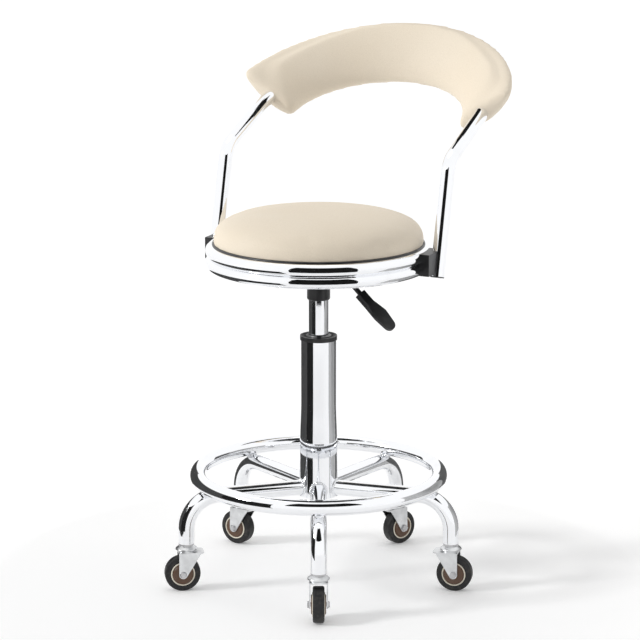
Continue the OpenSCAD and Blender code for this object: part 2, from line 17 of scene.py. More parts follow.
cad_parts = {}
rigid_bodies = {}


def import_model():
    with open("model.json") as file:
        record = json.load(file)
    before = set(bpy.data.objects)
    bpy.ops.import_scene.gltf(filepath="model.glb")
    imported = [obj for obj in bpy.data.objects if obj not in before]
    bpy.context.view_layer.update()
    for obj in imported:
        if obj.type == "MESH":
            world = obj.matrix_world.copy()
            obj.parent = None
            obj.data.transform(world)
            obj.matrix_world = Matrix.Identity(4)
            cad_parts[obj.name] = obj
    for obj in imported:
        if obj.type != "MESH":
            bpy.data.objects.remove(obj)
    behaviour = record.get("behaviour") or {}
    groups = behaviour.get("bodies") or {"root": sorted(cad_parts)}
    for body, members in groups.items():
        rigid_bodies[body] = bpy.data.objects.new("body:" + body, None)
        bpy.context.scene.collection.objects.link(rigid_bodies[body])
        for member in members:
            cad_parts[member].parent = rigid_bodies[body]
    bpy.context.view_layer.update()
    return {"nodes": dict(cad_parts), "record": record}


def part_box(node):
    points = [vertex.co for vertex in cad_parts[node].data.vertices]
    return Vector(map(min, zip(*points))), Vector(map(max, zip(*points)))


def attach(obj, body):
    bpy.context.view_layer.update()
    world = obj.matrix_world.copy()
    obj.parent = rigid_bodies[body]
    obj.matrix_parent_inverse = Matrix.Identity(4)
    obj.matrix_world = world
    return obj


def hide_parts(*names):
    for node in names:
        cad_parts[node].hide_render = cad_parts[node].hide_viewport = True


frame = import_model()
LOG = logging.getLogger("stool")
MM = 0.001
TURN = 2 * math.pi

Colour = tuple[float, float, float]
Points = np.ndarray


# ---------- shader maths ----------


class Wire:
    """A shader socket that adds Math nodes where it is used in arithmetic."""

    def __init__(self, recipe: "Recipe", socket: bpy.types.NodeSocket) -> None:
        """Wraps a socket of a recipe's tree."""
        self.recipe = recipe
        self.socket = socket

    def _maths(self, operation: str, *values: "Wire | float") -> "Wire":
        """A Math node's result for these values."""
        return self.recipe.node("ShaderNodeMath", {"operation": operation}, dict(enumerate(values)))

    def __add__(self, other: "Wire | float") -> "Wire":
        """self + other."""
        return self._maths("ADD", self, other)

    def __sub__(self, other: "Wire | float") -> "Wire":
        """self - other."""
        return self._maths("SUBTRACT", self, other)

    def __rsub__(self, other: float) -> "Wire":
        """other - self."""
        return self._maths("SUBTRACT", other, self)

    def __mul__(self, other: "Wire | float") -> "Wire":
        """self * other."""
        return self._maths("MULTIPLY", self, other)

    __radd__ = __add__
    __rmul__ = __mul__

    def fraction(self) -> "Wire":
        """What is left over past the whole number."""
        return self._maths("FRACT", self)

    def between(self, low: float, high: float) -> "Wire":
        """0 below low, 1 above high, and a smooth rise from one to the other."""
        settings = {"interpolation_type": "SMOOTHSTEP"}
        links = {"Value": self, "From Min": low, "From Max": high}
        return self.recipe.node("ShaderNodeMapRange", settings, links)


class Recipe:
    """One material's node tree, written as expressions."""

    def __init__(self, name: str) -> None:
        """Starts a material with its Principled shader."""
        self.material = bpy.data.materials.new(name)
        self.material.use_nodes = True
        self.tree = self.material.node_tree
        self.shader = next(n for n in self.tree.nodes if n.type == "BSDF_PRINCIPLED")
        self.place = self.node("ShaderNodeTexCoord", output="Object")

    def node(
        self,
        kind: str,
        settings: dict[str, object] | None = None,
        links: "dict[int | str, Wire | float | Sequence[float]] | None" = None,
        output: int | str = 0,
    ) -> Wire:
        """Adds a node.

        Args:
            kind: the node's type.
            settings: its own settings, set before its sockets.
            links: what each input socket holds or is linked to.
            output: which output socket to give back.

        Returns:
            The output socket.
        """
        made = self.tree.nodes.new(kind)
        for name, value in (settings or {}).items():
            setattr(made, name, value)
        for name, value in (links or {}).items():
            if isinstance(value, Wire):
                self.tree.links.new(value.socket, made.inputs[name])
            else:
                made.inputs[name].default_value = value
        return Wire(self, made.outputs[output])

    def noise(self, scale: float, detail: float = 3.0, where: Wire | None = None) -> Wire:
        """Noise from 0 to 1, with scale in waves a metre."""
        links = {"Vector": where or self.place, "Scale": scale, "Detail": detail}
        return self.node("ShaderNodeTexNoise", None, links, "Fac")

    def cells(self, scale: float, where: Wire | None = None) -> Wire:
        """Distance from the nearest edge of irregular cells, with scale in cells a metre."""
        links = {"Vector": where or self.place, "Scale": scale}
        return self.node("ShaderNodeTexVoronoi", {"feature": "DISTANCE_TO_EDGE"}, links, "Distance")

    def stretched(self, scale: Colour) -> Wire:
        """The object's coordinates, scaled along each axis."""
        return self.node("ShaderNodeMapping", None, {"Vector": self.place, "Scale": scale})

    def height(self) -> Wire:
        """Height above the floor at rest."""
        return self.node("ShaderNodeSeparateXYZ", None, {0: self.place}, "Z")

    def blend(self, amount: Wire, first: "Wire | Colour", second: "Wire | Colour") -> Wire:
        """first where amount is 0 and second where it is 1, as colours."""
        made = self.tree.nodes.new("ShaderNodeMix")
        made.data_type = "RGBA"
        self.tree.links.new(amount.socket, made.inputs[0])
        for socket, value in ((made.inputs[6], first), (made.inputs[7], second)):
            if isinstance(value, Wire):
                self.tree.links.new(value.socket, socket)
            else:
                socket.default_value = (*value, 1.0)
        return Wire(self, made.outputs[2])

    def bump(self, height: Wire, depth: float, under: Wire | None = None) -> Wire:
        """A normal for this height, depth metres high, laid over another bump."""
        links: dict[int | str, Wire | float] = {"Height": height, "Distance": depth, "Strength": 1.0}
        if under:
            links["Normal"] = under
        return self.node("ShaderNodeBump", None, links)

    def finish(self, **sockets: "Wire | float | Colour") -> bpy.types.Material:
        """Sets the shader's sockets, named with _ for a space, and returns the material."""
        for name, value in sockets.items():
            socket = self.shader.inputs[name.replace("_", " ")]
            if isinstance(value, Wire):
                self.tree.links.new(value.socket, socket)
            elif isinstance(value, tuple):
                socket.default_value = (*value, 1.0)
            else:
                socket.default_value = value
        return self.material


# ---------- finishes ----------


@dataclass(frozen=True)
class Chrome:
    """Polished chromium plate with a faint waviness and handling marks."""

    colour: Colour = (0.90, 0.91, 0.93)
    polish: float = 0.045
    smudge: float = 0.05
    waviness: float = 0.00002

    def make(self, name: str) -> bpy.types.Material:
        """Builds the material."""
        r = Recipe(name)
        marks = r.noise(24.0, 5.0).between(0.5, 0.78)
        wipe = r.noise(9.0, 3.0, r.stretched((1.0, 1.0, 6.0)))
        wave = r.bump(r.noise(16.0, 1.0), self.waviness)
        colour = r.blend(marks * 0.5, self.colour, tuple(c * 0.93 for c in self.colour))
        rough = self.polish + self.smudge * marks * wipe
        return r.finish(Base_Color=colour, Metallic=1.0, Roughness=rough, Normal=wave)


@dataclass(frozen=True)
class PlatedSteel:
    """Zinc plate on pressed or turned steel, with a brushed grain and dull patches."""

    colour: Colour
    roughness: float
    grain: Colour = (60.0, 900.0, 900.0)

    def make(self, name: str) -> bpy.types.Material:
        """Builds the material."""
        r = Recipe(name)
        brush = r.noise(1.0, 2.0, r.stretched(self.grain))
        patch = r.noise(70.0, 5.0).between(0.35, 0.75)
        dull = tuple(c * 0.80 for c in self.colour)
        colour = r.blend(patch, self.colour, dull)
        rough = self.roughness + 0.10 * patch + 0.08 * brush
        normal = r.bump(brush, 0.000012, r.bump(r.noise(260.0, 2.0), 0.00003))
        return r.finish(Base_Color=colour, Metallic=1.0, Roughness=rough, Normal=normal)


@dataclass(frozen=True)
class Moulding:
    """Moulded plastic or paint: a spark-eroded grain, with dust and rubbed patches."""

    colour: Colour
    roughness: float
    grain: float = 1500.0
    depth: float = 0.00003
    dust: float = 0.10

    def make(self, name: str) -> bpy.types.Material:
        """Builds the material."""
        r = Recipe(name)
        grain = r.cells(self.grain)
        rubbed = r.noise(45.0, 5.0).between(0.45, 0.75)
        dusty = tuple(min(1.0, c + self.dust * 0.35) for c in self.colour)
        colour = r.blend(rubbed * 0.6, self.colour, dusty)
        rough = self.roughness + 0.16 * rubbed + 0.10 * r.noise(400.0, 2.0)
        return r.finish(Base_Color=colour, Roughness=rough, Normal=r.bump(grain, self.depth))


@dataclass(frozen=True)
class Tyre:
    """Caster rubber: matt black, greyed with dust in patches."""

    colour: Colour = (0.013, 0.013, 0.014)
    dust: Colour = (0.060, 0.056, 0.050)

    def make(self, name: str) -> bpy.types.Material:
        """Builds the material."""
        r = Recipe(name)
        dirt = r.noise(160.0, 6.0).between(0.46, 0.78)
        scuff = r.noise(900.0, 3.0)
        colour = r.blend(dirt * 0.7, self.colour, self.dust)
        rough = 0.42 + 0.22 * dirt + 0.10 * scuff
        normal = r.bump(scuff, 0.00004)
        return r.finish(Base_Color=colour, Roughness=rough, Normal=normal, Specular_IOR_Level=0.35)


@dataclass(frozen=True)
class Leatherette:
    """Coated upholstery cloth with a fine pebble grain, painted shade in the gaps between pebbles, and a soft, even
    sheen.
    """

    colour: Colour = (0.885, 0.792, 0.655)
    shade: Colour = (0.845, 0.735, 0.580)
    pebble: float = 820.0
    depth: float = 0.000055
    roughness: float = 0.46

    def make(self, name: str) -> bpy.types.Material:
        """Builds the material."""
        r = Recipe(name)
        warp = r.node("ShaderNodeVectorMath", {"operation": "MULTIPLY_ADD"},
                      {0: r.node("ShaderNodeTexNoise", None, {"Vector": r.place, "Scale": 90.0}, "Color"),
                       1: (0.004, 0.004, 0.004), 2: r.place})
        edge = r.cells(self.pebble, warp)
        pebbles = edge.between(0.0, 0.22)
        pores = r.noise(2600.0, 2.0)
        cloud = r.noise(7.0, 4.0).between(0.30, 0.72)
        handled = r.noise(26.0, 5.0).between(0.42, 0.80)
        tone = r.blend(cloud * 0.45, self.colour, self.shade)
        # painted shade: the gaps between pebbles are darkened, as shade in the grain's recesses
        colour = r.blend((1.0 - pebbles) * 0.30, tone, tuple(c * 0.78 for c in self.shade))
        rough = self.roughness + 0.14 * (1.0 - pebbles) - 0.07 * handled + 0.05 * pores
        soft = r.bump(r.noise(34.0, 3.0), 0.00016)
        normal = r.bump(pores, 0.000010, r.bump(pebbles, self.depth, soft))
        return r.finish(Base_Color=colour, Roughness=rough, Normal=normal, Sheen_Weight=0.03,
                        Sheen_Roughness=0.45, Specular_IOR_Level=0.16)


@dataclass(frozen=True)
class Plywood:
    """Sanded plywood with its plies along the edge."""

    colour: Colour = (0.56, 0.40, 0.23)

    def make(self, name: str) -> bpy.types.Material:
        """Builds the material."""
        r = Recipe(name)
        grain = r.noise(1.0, 6.0, r.stretched((14.0, 260.0, 40.0)))
        plies = (r.height() * 650.0).fraction().between(0.35, 0.65)
        colour = r.blend(grain, self.colour, tuple(c * 0.62 for c in self.colour))
        colour = r.blend(plies * 0.35, colour, (0.30, 0.19, 0.10))
        return r.finish(Base_Color=colour, Roughness=0.6 + 0.15 * grain, Normal=r.bump(grain, 0.00006))


@dataclass(frozen=True)
class Cloth:
    """Pressed black cloth or open foam."""

    colour: Colour
    scale: float

    def make(self, name: str) -> bpy.types.Material:
        """Builds the material."""
        r = Recipe(name)
        fibres = r.noise(self.scale, 6.0)
        colour = r.blend(fibres, self.colour, tuple(min(1.0, c * 1.7 + 0.01) for c in self.colour))
        return r.finish(Base_Color=colour, Roughness=0.85 + 0.1 * fibres, Normal=r.bump(fibres, 0.0003))


class Finish(Enum):
    """A choice of finishes whose materials are made on their first use."""

    def material(self) -> bpy.types.Material:
        """The finish's material, apart from the frame's own, which carry the slots' names."""
        name = f"{self.name}_finish"
        return bpy.data.materials.get(name) or self.value.make(name)


class Slot(Finish):
    """The record's material slots, each with its finish."""

    chrome = Chrome()
    steel = PlatedSteel((0.55, 0.55, 0.56), 0.26)
    zinc = PlatedSteel((0.74, 0.75, 0.76), 0.24)
    aluminium = PlatedSteel((0.62, 0.62, 0.63), 0.35)
    black_plastic = Moulding((0.012, 0.012, 0.013), 0.30)
    black_rubber = Moulding((0.020, 0.020, 0.020), 0.55, 700.0, 0.00005)
    black_paint = Moulding((0.010, 0.010, 0.011), 0.28, 420.0, 0.00002)
    dust_cloth = Cloth((0.012, 0.012, 0.012), 1600.0)
    plywood = Plywood()
    foam = Cloth((0.78, 0.66, 0.40), 1100.0)
    upholstery = Leatherette()
    brown_plastic = Moulding((0.098, 0.046, 0.022), 0.30, 900.0, 0.00002, 0.12)
    tyre = Tyre()


class Trim(Finish):
    """Finishes of small pieces that the record has no slot for."""

    hub_ring = Moulding((0.80, 0.74, 0.62), 0.35, 900.0, 0.00001, 0.0)


# ---------- meshes ----------


def placed(name: str, data: bpy.types.ID) -> bpy.types.Object:
    """A new object for a mesh, light or camera, linked to the scene."""
    made = bpy.data.objects.new(name, data)
    bpy.context.scene.collection.objects.link(made)
    return made


def corners(node: str) -> tuple[Points, Points]:
    """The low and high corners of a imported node's box at rest."""
    low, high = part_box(node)
    return np.array(low), np.array(high)


def new_piece(name: str, points: Points, faces: Sequence[Sequence[int]], finish: Finish) -> bpy.types.Object:
    """Makes a smooth mesh object.

    Args:
        name: the object's name.
        points: its vertices, in metres in the stool's frame.
        faces: its faces, as vertex numbers.
        finish: its finish.

    Returns:
        The object, linked to the scene.
    """
    mesh = bpy.data.meshes.new(name)
    mesh.from_pydata(points.tolist(), [], [list(f) for f in faces])
    mesh.shade_smooth()
    mesh.materials.append(finish.material())
    return placed(name, mesh)


def grid_faces(rows: int, columns: int, closed_rows: bool) -> list[tuple[int, ...]]:
    """Quads over a grid of points whose columns close on themselves.

    Args:
        rows: number of rings.
        columns: points in each ring.
        closed_rows: whether the last ring joins the first.

    Returns:
        The faces, with their outsides on the left of the path.
    """
    made = []
    for i in range(rows if closed_rows else rows - 1):
        j = (i + 1) % rows
        for k in range(columns):
            m = (k + 1) % columns
            made.append((i * columns + k, i * columns + m, j * columns + m, j * columns + k))
    return made


def arc(centre: tuple[float, float], radius: float, start: float, end: float, steps: int) -> Points:
    """Points on an arc, with its angles in degrees."""
    angle = np.radians(np.linspace(start, end, steps + 1))
    return np.stack([centre[0] + radius * np.cos(angle), centre[1] + radius * np.sin(angle)], 1)


def lathe(name: str, outline: Points, finish: Finish, steps: int) -> bpy.types.Object:
    """Turns a closed outline of (radius, height) about the Z axis.

    Args:
        name: the object's name.
        outline: the section's corners, anticlockwise with the axis on the left.
        finish: its finish.
        steps: number of facets round.

    Returns:
        The object.
    """
    angle = np.arange(steps) * TURN / steps
    rings = [np.stack([r * np.cos(angle), r * np.sin(angle), np.full(steps, z)], 1) for r, z in outline]
    faces = [f[::-1] for f in grid_faces(len(outline), steps, True)]
    return new_piece(name, np.concatenate(rings), faces, finish)


def baked(source: bpy.types.Object, name: str) -> bpy.types.Object:
    """Turns an object and its modifiers into a plain mesh piece that takes the object's place."""
    graph = bpy.context.evaluated_depsgraph_get()
    mesh = bpy.data.meshes.new_from_object(source.evaluated_get(graph), depsgraph=graph)
    made = placed(name, mesh)
    old = source.data
    bpy.data.objects.remove(source)
    if old.users == 0:
        bpy.data.meshes.remove(old)
    made.name = name
    return made


def positions(piece: bpy.types.Object) -> Points:
    """A mesh's vertices as an array."""
    flat = np.empty(len(piece.data.vertices) * 3)
    piece.data.vertices.foreach_get("co", flat)
    return flat.reshape(-1, 3)


def set_positions(piece: bpy.types.Object, points: Points) -> None:
    """Moves a mesh's vertices."""
    piece.data.vertices.foreach_set("co", points.ravel())
    piece.data.update()


@dataclass(frozen=True)
class Stuffing:
    """Swells a closed form as foam swells a cover, by cloth simulation."""

    voxel: float = 4.5 * MM
    pressure: float = 4.0
    cap: float = 5 * MM
    frames: int = 20
    relax: int = 4

    def swell(self, form: bpy.types.Object, free: Callable[[Points], np.ndarray]) -> bpy.types.Object:
        """Remeshes the form, blows it up and smooths it.

        Args:
            form: a closed mesh, slightly smaller than the padded piece.
            free: how freely each point may move, from 0 to 1.

        Returns:
            The swollen piece, one subdivision finer.
        """
        name = form.name
        form.modifiers.new("voxels", "REMESH").voxel_size = self.voxel
        piece = baked(form, name)
        rest = positions(piece)
        moved = self._simulate(piece) - rest
        reach = np.linalg.norm(moved, axis=1)
        moved *= np.minimum(1.0, self.cap / np.maximum(reach, 1e-9))[:, None]
        set_positions(piece, rest + moved * free(rest)[:, None])
        smooth = piece.modifiers.new("relax", "SMOOTH")
        smooth.factor = 0.5
        smooth.iterations = self.relax
        finer = piece.modifiers.new("finer", "SUBSURF")
        finer.levels = finer.render_levels = 1
        made = baked(piece, name)
        made.data.shade_smooth()
        return made

    def _simulate(self, piece: bpy.types.Object) -> Points:
        """Runs the cloth and returns where its points end."""
        cloth = piece.modifiers.new("swell", "CLOTH")
        cloth.settings.quality = 6
        cloth.settings.mass = 0.25
        cloth.settings.tension_stiffness = 14
        cloth.settings.compression_stiffness = 14
        cloth.settings.shear_stiffness = 7
        cloth.settings.bending_stiffness = 3
        cloth.settings.use_pressure = True
        cloth.settings.uniform_pressure_force = self.pressure
        cloth.settings.effector_weights.gravity = 0.0
        cloth.point_cache.frame_end = self.frames
        scene = bpy.context.scene
        for step in range(1, self.frames + 1):
            scene.frame_set(step)
        swollen = positions(piece.evaluated_get(bpy.context.evaluated_depsgraph_get()))
        piece.modifiers.remove(cloth)
        scene.frame_set(1)
        return swollen


# ---------- repeats by Geometry Nodes ----------


def turned_points(name: str, points: Points, turns: Points) -> bpy.types.Object:
    """A mesh of bare points that carry a turn each, for a node tree to build on.

    Args:
        name: the object's name.
        points: the points.
        turns: each point's Euler angles.

    Returns:
        The object.
    """
    mesh = bpy.data.meshes.new(name)
    mesh.from_pydata(np.asarray(points, float).tolist(), [], [])
    values = np.asarray(turns, float).ravel()
    mesh.attributes.new("turn", "FLOAT_VECTOR", "POINT").data.foreach_set("vector", values)
    return placed(name, mesh)


def euler_from(x: Sequence[float], z: Sequence[float]) -> tuple[float, float, float]:
    """The Euler angles that turn +Z to z and +X as near x as may be."""
    up = Vector(z).normalized()
    across = up.cross(Vector(x)).normalized()
    ahead = across.cross(up)
    return tuple(Matrix((ahead, across, up)).transposed().to_euler())


def settle(piece: bpy.types.Object, body: str, finish: Finish) -> None:
    """Rides a rigid piece on a body."""
    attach(piece, body)
    isinstance(finish, Slot)


class Scatter:
    """A Geometry Nodes tree that sets one smooth shape on every point of a mesh, turned as the point says."""

    def __init__(self, name: str, inputs: dict[str, str], finish: Finish) -> None:
        """Builds everything but the shape.

        Args:
            name: the tree's name.
            inputs: the tree's own inputs, each with its socket type.
            finish: the finish.
        """
        self.tree = bpy.data.node_groups.new(name, "GeometryNodeTree")
        face = self.tree.interface
        face.new_socket("Geometry", in_out="INPUT", socket_type="NodeSocketGeometry")
        self.ids = {n: face.new_socket(n, in_out="INPUT", socket_type=kind).identifier for n, kind in inputs.items()}
        face.new_socket("Geometry", in_out="OUTPUT", socket_type="NodeSocketGeometry")
        add, link = self.tree.nodes.new, self.tree.links.new
        self.source, target = add("NodeGroupInput"), add("NodeGroupOutput")
        self.smooth, self.spread = add("GeometryNodeSetShadeSmooth"), add("GeometryNodeInstanceOnPoints")
        turned = add("GeometryNodeInputNamedAttribute")
        turned.data_type = "FLOAT_VECTOR"
        turned.inputs["Name"].default_value = "turn"
        real, dress = add("GeometryNodeRealizeInstances"), add("GeometryNodeSetMaterial")
        dress.inputs["Material"].default_value = finish.material()
        link(self.source.outputs["Geometry"], self.spread.inputs["Points"])
        link(self.smooth.outputs[0], self.spread.inputs["Instance"])
        link(turned.outputs["Attribute"], self.spread.inputs["Rotation"])
        link(self.spread.outputs[0], real.inputs["Geometry"])
        link(real.outputs[0], dress.inputs["Geometry"])
        link(dress.outputs[0], target.inputs["Geometry"])

    def over(self, name: str, points: Points, turns: Points, values: dict[str, object]) -> bpy.types.Object:
        """Sets the shape on points.

        Args:
            name: the piece's name.
            points: where each copy goes.
            turns: each copy's Euler angles.
            values: what the tree's own inputs hold.

        Returns:
            The copies as one plain mesh.
        """
        made = turned_points(name, points, turns)
        modifier = made.modifiers.new("scatter", "NODES")
        modifier.node_group = self.tree
        for key, value in values.items():
            modifier[self.ids[key]] = value
        return baked(made, name)


class Repeat(Scatter):
    """Copies of one small mesh."""

    def __init__(self, name: str, shape: str, sizes: dict[str, object], finish: Finish) -> None:
        """Builds the tree.

        Args:
            name: the tree's name.
            shape: the type of the node that makes the small mesh.
            sizes: that node's input values, by socket name.
            finish: the finish.
        """
        super().__init__(name, {}, finish)
        small, link = self.tree.nodes.new(shape), self.tree.links.new
        for key, value in sizes.items():
            small.inputs[key].default_value = value
        link(small.outputs[0], self.smooth.inputs["Geometry"])

    def along(self, name: str, points: Points, turns: Points | None = None) -> bpy.types.Object:
        """Puts the mesh on points, unturned unless turns are given."""
        return self.over(name, points, np.zeros_like(points) if turns is None else turns, {})


class Bead(Scatter):
    """Rings of round bead, such as a piping or a hub's trim."""

    def __init__(self, name: str, finish: Finish, resolution: int = 160) -> None:
        """Builds the tree with its ring radius and bead radius as inputs.

        Args:
            name: the tree's name.
            finish: the finish.
            resolution: points round each ring.
        """
        super().__init__(name, dict.fromkeys(("Ring radius", "Bead radius"), "NodeSocketFloat"), finish)
        add, link = self.tree.nodes.new, self.tree.links.new
        ring, section = add("GeometryNodeCurvePrimitiveCircle"), add("GeometryNodeCurvePrimitiveCircle")
        ring.inputs["Resolution"].default_value = resolution
        section.inputs["Resolution"].default_value = 16
        sweep = add("GeometryNodeCurveToMesh")
        link(self.source.outputs["Ring radius"], ring.inputs["Radius"])
        link(self.source.outputs["Bead radius"], section.inputs["Radius"])
        link(ring.outputs[0], sweep.inputs["Curve"])
        link(section.outputs[0], sweep.inputs["Profile Curve"])
        link(sweep.outputs[0], self.smooth.inputs["Geometry"])

    def rings(self, name: str, points: Points, turns: Points, ring_r: float, bead_r: float) -> bpy.types.Object:
        """Sweeps a bead round each point.

        Args:
            name: the piece's name.
            points: the rings' centres.
            turns: each ring's Euler angles, from an axis along Z.
            ring_r: the rings' radius.
            bead_r: the bead's radius.

        Returns:
            The rings as one plain mesh.
        """
        return self.over(name, points, turns, {"Ring radius": ring_r, "Bead radius": bead_r})


# ---------- the stool ----------


@dataclass
class Upholstery:
    """The round seat cushion, sunk in the rim, and the piping in the joint between them."""

    inset: float = 4 * MM
    tuck: float = 16 * MM
    waist_up: float = 9 * MM
    under_r: float = 9 * MM
    side_fullness: float = 0.70
    top_fullness: float = 0.84
    swelling: float = 3 * MM
    free_above: float = 12 * MM
    pleats: int = 31
    pleat_depth: float = 0.0019
    pleats_up: float = 2 * MM
    pleats_fade: float = 9 * MM
    core_r: float = 0.5 * MM
    dome_points: int = 34
    piping_r: float = 2.2 * MM
    piping_in: float = 4.5 * MM
    piping_up: float = 0.3 * MM
    facets: int = 96
    high: Points = field(init=False)
    rim_high: Points = field(init=False)

    def __post_init__(self) -> None:
        """Reads the cushion's place from the frame."""
        self.high = corners("seat_cover")[1]
        self.rim_high = corners("seat_rim")[1]

    def outline(self) -> Points:
        """Half of the cushion's section: a steep side that rolls over to a shallow dome."""
        radius = self.high[0] - self.inset
        top = self.high[2] - self.inset
        waist = self.rim_high[2] + self.waist_up
        foot = self.rim_high[2] - self.tuck
        under = arc((0, 0), 1.0, -90, 0, 8) * (self.under_r, waist - foot) + (radius - self.under_r, waist)
        angle = np.radians(np.linspace(0, 90, self.dome_points))[1:-1]
        dome = np.stack([radius * np.cos(angle) ** self.side_fullness,
                         waist + (top - waist) * np.sin(angle) ** self.top_fullness], 1)
        return np.concatenate([[(self.core_r, foot)], under, dome, [(self.core_r, top)]])

    def cushion(self) -> bpy.types.Object:
        """The cushion, swollen by simulation above the rim and drawn in along it."""
        edge = self.rim_high[2]
        form = lathe("seat_cushion", self.outline(), Slot.upholstery, self.facets)
        stuffing = Stuffing(cap=self.swelling, relax=12)
        made = stuffing.swell(form, lambda p: np.clip((p[:, 2] - edge) / self.free_above, 0.0, 1.0))
        points = positions(made)
        angle = np.arctan2(points[:, 1], points[:, 0])
        near_rim = np.exp(-(((points[:, 2] - edge - self.pleats_up) / self.pleats_fade) ** 2))
        pleats = np.sin(self.pleats * angle + 1.7 * np.sin(3 * angle)) * (0.6 + 0.4 * np.sin(5 * angle + 1.0))
        points[:, :2] *= (1 + self.pleat_depth * near_rim * pleats)[:, None]
        set_positions(made, points)
        return made

    def build(self) -> None:
        """Makes the cushion and its piping."""
        cushion = self.cushion()
        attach(cushion, "seat")
        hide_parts("seat_cover", "seat_foam")
        centre = [(0.0, 0.0, self.rim_high[2] + self.piping_up)]
        piping = Bead("piping_ring", Slot.black_plastic).rings(
            "seat_piping", centre, [(0, 0, 0)], self.high[0] - self.piping_in, self.piping_r)
        settle(piping, "seat", Slot.black_plastic)
        LOG.info("upholstery: %d faces", len(cushion.data.polygons))


@dataclass
class Backrest:
    """The padded band round the top of the bent back tube."""

    tube_r: float = 10 * MM
    hoop_rise: float = math.radians(20)
    hoop_reach: float = 125 * MM
    rise: float = math.radians(20.9)
    reach: float = 117.7 * MM
    depth: float = 1.08
    height: float = 103 * MM
    thickness: float = 36 * MM
    lean_at_arms: float = math.radians(49)
    lean_at_back: float = math.radians(42.5)
    start: float = 36 * MM
    shift: float = 6 * MM
    out: float = 3 * MM
    lift: float = 3 * MM
    inset: float = 3 * MM
    end_cap: float = 11 * MM
    roundness: float = 0.97
    taper: float = 0.10
    sides: int = 44
    rings: int = 72
    cap_rings: int = 8
    swelling: float = 3.5 * MM
    half_width: float = field(init=False)
    centre: Points = field(init=False)

    def __post_init__(self) -> None:
        """Reads the hoop's place from the frame."""
        high = corners("back_frame")[1]
        self.half_width = high[0] - self.tube_r
        apex = np.array([0.0, high[1] - self.tube_r, high[2] - self.tube_r])
        corner = apex - (self.half_width + self.hoop_reach) * self.up_slope(self.hoop_rise)
        self.centre = corner + self.reach * self.up_slope(self.rise)

    @staticmethod
    def up_slope(rise: float) -> Points:
        """The direction back and up a slope."""
        return np.array([0.0, math.cos(rise), math.sin(rise)])

    def section(self) -> Points:
        """The band's section as (out, along its height) points, thicker low than high."""
        angle = np.arange(self.sides) * TURN / self.sides
        out = np.sign(np.cos(angle)) * np.abs(np.cos(angle)) ** self.roundness * self.thickness / 2
        up = np.sign(np.sin(angle)) * np.abs(np.sin(angle)) ** self.roundness * self.height / 2
        return np.stack([out * (1 - self.taper * np.sin(angle)), up], 1)

    def ring(self, share: float, inset: float) -> Points:
        """One ring of the band's surface.

        Args:
            share: place along the band, from 0 at the right arm to 1 at the left.
            inset: how far the section is drawn in all round.

        Returns:
            The ring's points in the stool's frame.
        """
        inset += self.inset
        section = self.section() * (1 - 2 * inset / self.thickness, 1 - 2 * inset / self.height)
        lean = self.lean_at_back + (self.lean_at_arms - self.lean_at_back) * math.cos(math.pi * share) ** 2
        up = section[:, 1] + self.lift
        out = section[:, 0] * math.cos(lean) + up * math.sin(lean)
        rise = up * math.cos(lean) - section[:, 0] * math.sin(lean)
        begin = self.start / self.half_width
        angle = begin + (math.pi - 2 * begin) * share - self.shift / self.half_width
        reach = self.half_width + self.out + out
        right = reach * np.cos(angle)
        back = reach * np.sin(angle) * self.depth
        slope, square = self.up_slope(self.rise), self.up_slope(self.rise + math.pi / 2)
        return self.centre + np.outer(right, (1, 0, 0)) + np.outer(back, slope) + np.outer(rise, square)

    def pad(self) -> bpy.types.Object:
        """The band with domed ends, swollen by simulation."""
        past = self.end_cap / (math.pi * self.half_width)
        turns = np.radians(np.linspace(90, 12, self.cap_rings))
        cap = [(past * math.sin(a), self.end_cap * (1 - math.cos(a))) for a in turns]
        rings = [self.ring(-beyond, inset) for beyond, inset in cap]
        rings += [self.ring(share, 0.0) for share in np.linspace(0, 1, self.rings)]
        rings += [self.ring(1 + beyond, inset) for beyond, inset in cap[::-1]]
        points = np.concatenate(rings)
        faces = grid_faces(len(rings), self.sides, False)
        last = (len(rings) - 1) * self.sides
        faces += [tuple(range(self.sides - 1, -1, -1)), tuple(range(last, last + self.sides))]
        form = new_piece("back_pad", points, faces, Slot.upholstery)
        return Stuffing(cap=self.swelling).swell(form, lambda p: np.ones(len(p)))

    def build(self) -> None:
        """Makes the pad."""
        pad = self.pad()
        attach(pad, "seat")
        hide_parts("back_cover", "back_foam")
        LOG.info("backrest: %d faces", len(pad.data.polygons))


